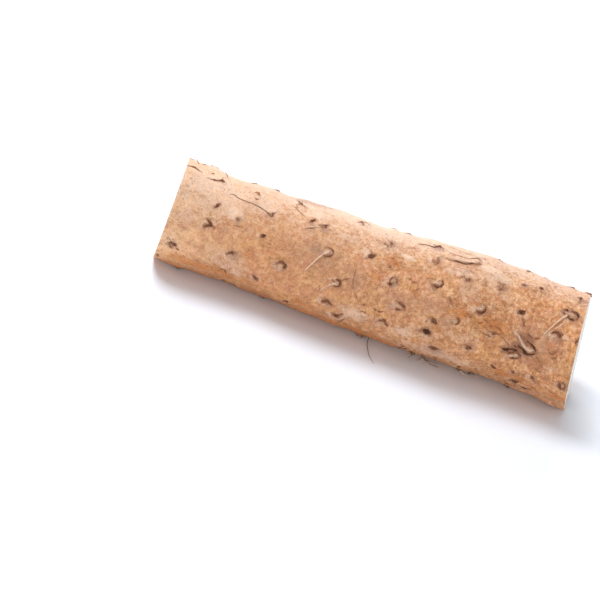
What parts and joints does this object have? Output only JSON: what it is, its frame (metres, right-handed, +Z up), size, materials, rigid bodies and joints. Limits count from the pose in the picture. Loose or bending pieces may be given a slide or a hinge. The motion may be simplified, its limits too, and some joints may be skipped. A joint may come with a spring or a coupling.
{
  "type": "chinese yam",
  "caption": "Cut length of Chinese yam lying on its side, tan skin with dark root scars and fine rootlets, white flesh on both cuts.",
  "frame": {"origin": "under the middle of the box, on the surface that the yam lies on", "axes": "+X along the yam from its square cut to its slanted cut, -Y towards its front, +Z up"},
  "size_m": [0.2206, 0.064, 0.0586],
  "materials": {
    "skin": "dry, matt, finely wrinkled tan skin",
    "flesh": "moist white cut flesh"
  },
  "bodies": {
    "root": {"yam": "skin"}
  },
  "joints": []
}
